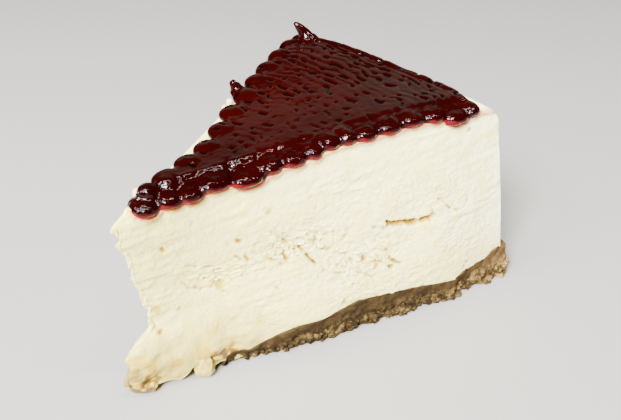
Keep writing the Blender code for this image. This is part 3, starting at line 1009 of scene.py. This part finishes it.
def mixColour(tree, factor, first, second, mode="MIX"):
    mix = tree.nodes.new("ShaderNodeMix")
    mix.data_type = "RGBA"
    mix.blend_type = mode
    for socket, value in ((mix.inputs[0], factor), (mix.inputs[6], first), (mix.inputs[7], second)):
        if isinstance(value, bpy.types.NodeSocket):
            tree.links.new(value, socket)
        elif isinstance(value, tuple):
            socket.default_value = (*value, 1.0)
        else:
            socket.default_value = value
    return mix.outputs[2]


def scaled(tree, value, low, high, newHigh=1.0):
    fit = tree.nodes.new("ShaderNodeMapRange")
    fit.interpolation_type = "SMOOTHSTEP"
    tree.links.new(value, fit.inputs["Value"])
    for name, number in (("From Min", low), ("From Max", high), ("To Min", 0.0), ("To Max", newHigh)):
        fit.inputs[name].default_value = number
    return fit.outputs["Result"]


# a colour laid over the tone where a value climbs from low to high
def tint(tree, tone, value, low, high, share, colour):
    return mixColour(tree, scaled(tree, value, low, high, share), tone, colour)


def multiplied(tree, first, second):
    product = addNode(tree, "ShaderNodeMath", operation="MULTIPLY")
    tree.links.new(first, product.inputs[0])
    tree.links.new(second, product.inputs[1])
    return product.outputs[0]


# one bump over another: (height, strength, distance) each
def addBumps(tree, shader, lower, upper):
    first = addNode(tree, "ShaderNodeBump", Strength=lower[1], Distance=lower[2])
    tree.links.new(lower[0], first.inputs["Height"])
    second = addNode(tree, "ShaderNodeBump", Strength=upper[1], Distance=upper[2])
    tree.links.new(upper[0], second.inputs["Height"])
    tree.links.new(first.outputs["Normal"], second.inputs["Normal"])
    tree.links.new(second.outputs["Normal"], shader.inputs["Normal"])


# Cheese: yellower towards the tip and the foot and darker there as painted shade, whiter towards the rim,
# with painted shade in the hollows
cheeseLook = {
    "rimColour": (0.940, 0.890, 0.560),
    "midColour": (0.930, 0.875, 0.400),
    # the tip and low tints are partly a yellower cheese and partly painted shade, darker towards the tip
    # and the bottom
    "tipTintAndShade": (0.745, 0.665, 0.225),
    "lowTintAndShade": (0.690, 0.605, 0.190),
    "cloudColour": (0.830, 0.770, 0.180),
    "mottleColour": (0.760, 0.670, 0.130),
    # the foot and corner tints are partly browner cheese and partly painted shade at the bottom-left
    "footTintAndShade": (0.380, 0.285, 0.060),
    "cornerTintAndShade": (0.210, 0.140, 0.028),
    # painted shade for the hollows of flakes, cracks and pits
    "hollowShadeColour": (0.500, 0.400, 0.100),
    "faintStain": (0.540, 0.400, 0.060),
    "darkStain": (0.280, 0.150, 0.008),
    "brownStain": (0.120, 0.072, 0.028),
    "bleedColour": (0.420, 0.042, 0.036),
    "fineBump": (0.6, 0.0004),
    "broadBump": (0.5, 0.0008),
    "finish": {
        "Roughness": 0.36,
        "IOR": 1.4,
        "Specular IOR Level": 0.35,
        "Subsurface Weight": 0.25,
        "Subsurface Radius": (0.0026, 0.0020, 0.0012),
        "Subsurface Scale": 1.0,
    },
}


def cheeseMaterial():
    look = cheeseLook
    material, tree, shader = newMaterial("bakedCheese", look["finish"])
    coords = objectPlace(tree)
    axes = splitPlace(tree, coords)
    clouds = addNoise(tree, coords, 120.0, 3.0)
    small = addNoise(tree, coords, 260.0, 4.0, 0.65)
    fine = addNoise(tree, coords, 1100.0, 3.0)
    tipward = scaled(tree, axes["X"], 0.000, -0.055)
    rimward = scaled(tree, axes["X"], 0.015, 0.050)
    corner = scaled(tree, axes["X"], -0.0600, -0.0665)
    low = scaled(tree, axes["Z"], 0.028, 0.004)
    tone = mixColour(tree, rimward, look["midColour"], look["rimColour"])
    # darker towards the tip and the bottom: partly a yellower tint, partly painted shade
    tone = mixColour(tree, tipward, tone, look["tipTintAndShade"])
    tone = tint(tree, tone, low, 0.0, 1.0, 0.7, look["lowTintAndShade"])
    tone = tint(tree, tone, clouds, 0.48, 0.68, 0.6, look["cloudColour"])
    tone = tint(tree, tone, small, 0.54, 0.74, 0.4, look["mottleColour"])
    # darker still at the foot and the bottom-left corner: partly browner cheese, partly painted shade
    for share, colour in ((tipward, look["footTintAndShade"]), (corner, look["cornerTintAndShade"])):
        foot = multiplied(tree, share, low)
        tone = tint(tree, tone, foot, 0.2, 1.0, 0.85, colour)
    # painted shade in the hollows
    tone = mixColour(tree, readValue(tree, "hollowShade"), tone, look["hollowShadeColour"])
    stain = readValue(tree, "stain")
    tone = tint(tree, tone, stain, 0.0, 0.45, 1.0, look["faintStain"])
    tone = tint(tree, tone, stain, 0.35, 0.95, 1.0, look["darkStain"])
    tone = tint(tree, tone, stain, 1.0, 1.6, 1.0, look["brownStain"])
    tone = tint(tree, tone, readValue(tree, "bleed"), 0.05, 0.9, 0.85, look["bleedColour"])
    tree.links.new(tone, shader.inputs["Base Color"])
    addBumps(tree, shader, (fine, *look["fineBump"]), (small, *look["broadBump"]))
    return material


# Crumb: dark gaps between light grains, smeared brown above, darker towards the tip as painted shadow under
# the overhanging cheese
crumbLook = {
    "grainStops": (
        (0.34, (0.014, 0.008, 0.003)), (0.47, (0.070, 0.042, 0.014)), (0.62, (0.280, 0.175, 0.062)),
    ),
    "smearStops": ((0.34, (0.045, 0.024, 0.008)), (0.66, (0.120, 0.070, 0.025))),
    "patchColour": (0.120, 0.068, 0.020),
    # painted shadow under the overhanging cheese, multiplied in towards the tip
    "tipShadeFactor": (0.40, 0.41, 0.40),
    "grainBump": (0.7, 0.0006),
    "fineBump": (0.4, 0.0003),
    "finish": {"Roughness": 0.75, "Specular IOR Level": 0.08},
}


def crumbMaterial():
    look = crumbLook
    material, tree, shader = newMaterial("pressedBiscuit", look["finish"])
    coords = objectPlace(tree)
    grain = addNoise(tree, coords, 420.0, 5.0, 0.7)
    patches = addNoise(tree, coords, 120.0, 3.0)
    fine = addNoise(tree, coords, 1500.0, 3.0)
    rough = addRamp(tree, grain, look["grainStops"])
    smeared = addRamp(tree, grain, look["smearStops"])
    upper = scaled(tree, readValue(tree, "upper"), 0.35, 0.80)
    tone = mixColour(tree, upper, rough, smeared)
    tone = tint(tree, tone, patches, 0.55, 0.75, 0.5, look["patchColour"])
    # painted shadow: the crumb is darkened towards the tip, under the overhanging cheese
    rimward = scaled(tree, splitPlace(tree, coords)["X"], 0.025, 0.050)
    tipShaded = mixColour(tree, 1.0, tone, look["tipShadeFactor"], "MULTIPLY")
    tree.links.new(mixColour(tree, rimward, tipShaded, tone), shader.inputs["Base Color"])
    addBumps(tree, shader, (grain, *look["grainBump"]), (fine, *look["fineBump"]))
    return material


# Jelly: painted almost black in the pits as painted shade, redder where it thins out as painted light
# shining through, with a painted glow patch
jellyLook = {
    "stops": ((0.35, (0.0060, 0.0001, 0.0001)), (0.68, (0.0100, 0.0002, 0.0002))),
    # painted light shining through the jelly in one patch
    "glowColour": (0.0118, 0.0003, 0.0002),
    # painted shade in the pits
    "pitShadeColour": (0.0022, 0.0001, 0.0001),
    # painted light through thin jelly
    "thinGlowColour": (0.0900, 0.0012, 0.0040),
    "fineBump": (0.12, 0.0006),
    "foldBump": (0.5, 0.0012),
    "finish": {"Roughness": 0.10, "Specular IOR Level": 0.22, "IOR": 1.40},
}


def jellyMaterial():
    look = jellyLook
    material, tree, shader = newMaterial("berryJelly", look["finish"])
    coords = objectPlace(tree)
    patches = addNoise(tree, coords, 90.0, 3.0)
    fine = addNoise(tree, coords, 700.0, 2.0, 0.5)
    wrinkles = addNoise(tree, coords, 430.0, 2.0, 0.5)
    tone = addRamp(tree, patches, look["stops"])
    # painted light shining through the jelly in one patch
    tone = mixColour(tree, readValue(tree, "glow"), tone, look["glowColour"])
    # painted shade in the pits
    tone = tint(tree, tone, readValue(tree, "pitAndShade"), 0.15, 0.7, 0.95, look["pitShadeColour"])
    # painted light through the thin rims and the peaks
    tone = tint(tree, tone, readValue(tree, "thinGlow"), 0.1, 1.0, 0.9, look["thinGlowColour"])
    tree.links.new(tone, shader.inputs["Base Color"])
    folds = multiplied(tree, wrinkles, scaled(tree, readValue(tree, "lobe"), 0.1, 1.0))
    addBumps(tree, shader, (fine, *look["fineBump"]), (folds, *look["foldBump"]))
    return material


def dress(piece, node, material):
    piece.data.materials.clear()
    piece.data.materials.append(material)
    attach(piece, "root")
    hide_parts(node)


# Camera at the photograph's viewing angle
view = {
    "place": (-0.1288, -0.1250, 0.1381),
    "yaw": math.radians(-46.89),
    "pitch": math.radians(31.30),
    "roll": math.radians(-0.93),
    "focalPixels": 680.0,
    "frameWidth": 621,
    "sensorWidth": 36.0,
    "nearest": 0.001,
}


def addCamera():
    deselectAll()
    bpy.ops.object.camera_add(location=view["place"])
    camera = bpy.context.active_object
    turn = Matrix.Rotation(view["yaw"], 4, "Z")
    turn = turn @ Matrix.Rotation(math.pi / 2 - view["pitch"], 4, "X")
    turn = turn @ Matrix.Rotation(view["roll"], 4, "Z")
    camera.rotation_euler = turn.to_euler()
    camera.data.sensor_width = view["sensorWidth"]
    camera.data.lens = view["sensorWidth"] * view["focalPixels"] / view["frameWidth"]
    camera.data.clip_start = view["nearest"]
    bpy.context.scene.camera = camera


def addSoftbox(name, place, target, size, power, colour):
    deselectAll()
    bpy.ops.object.light_add(type="AREA", location=place)
    lamp = bpy.context.active_object
    lamp.name = name
    lamp.data.shape = "RECTANGLE"
    lamp.data.size = size[0]
    lamp.data.size_y = size[1]
    lamp.data.energy = power
    lamp.data.color = colour
    aim = Vector(target) - Vector(place)
    lamp.rotation_euler = aim.to_track_quat("-Z", "Y").to_euler()


studio = {
    "floorSize": 4.0,
    "floorHeight": -0.0002,
    "floorColour": (0.270, 0.262, 0.248),
    "floorRoughness": 0.7,
    "roomColour": (0.080, 0.076, 0.066),
    "roomStrength": 1.0,
    # name, place, target, size, power, colour
    "lights": (
        ("windowLight", (-1.00, -0.38, 0.95), (0.0, 0.0, 0.03), (0.45, 0.45), 165.0, (1.0, 0.985, 0.96)),
        ("ceilingTube", (-0.12, -0.10, 0.85), (0.0, 0.0, 0.05), (1.1, 0.035), 15.0, (1.0, 0.98, 0.95)),
        ("sideWindow", (-0.55, 0.10, 0.55), (-0.05, 0.0, 0.06), (0.16, 0.16), 5.5, (0.50, 0.73, 1.0)),
        ("wallSheen", (0.66, 0.60, 0.36), (0.0, 0.0, 0.06), (1.3, 0.6), 0.85, (1.0, 0.97, 0.78)),
    ),
}


def addStudio():
    deselectAll()
    bpy.ops.mesh.primitive_plane_add(size=studio["floorSize"], location=(0.0, 0.0, studio["floorHeight"]))
    floor = bpy.context.active_object
    floor.name = "paleFloor"
    paint = {"Base Color": (*studio["floorColour"], 1.0), "Roughness": studio["floorRoughness"]}
    floor.data.materials.append(newMaterial("paleFloorPaint", paint)[0])
    for light in studio["lights"]:
        addSoftbox(*light)
    world = bpy.data.worlds.new("softRoom")
    bpy.context.scene.world = world
    world.use_nodes = True
    background = world.node_tree.nodes["Background"]
    background.inputs["Color"].default_value = (*studio["roomColour"], 1.0)
    background.inputs["Strength"].default_value = studio["roomStrength"]


fillingPiece = makeFilling()
dress(fillingPiece, "cheese_filling", cheeseMaterial())
print("filling:", countTriangles(fillingPiece), "triangles")

basePiece = makeBase()
dress(basePiece, "biscuit_base", crumbMaterial())
print("base:", countTriangles(basePiece), "triangles")

toppingPiece = makeTopping()
dress(toppingPiece, "berry_topping", jellyMaterial())
print("topping:", countTriangles(toppingPiece), "triangles")

addCamera()
addStudio()
print("camera, floor and lights are in place")
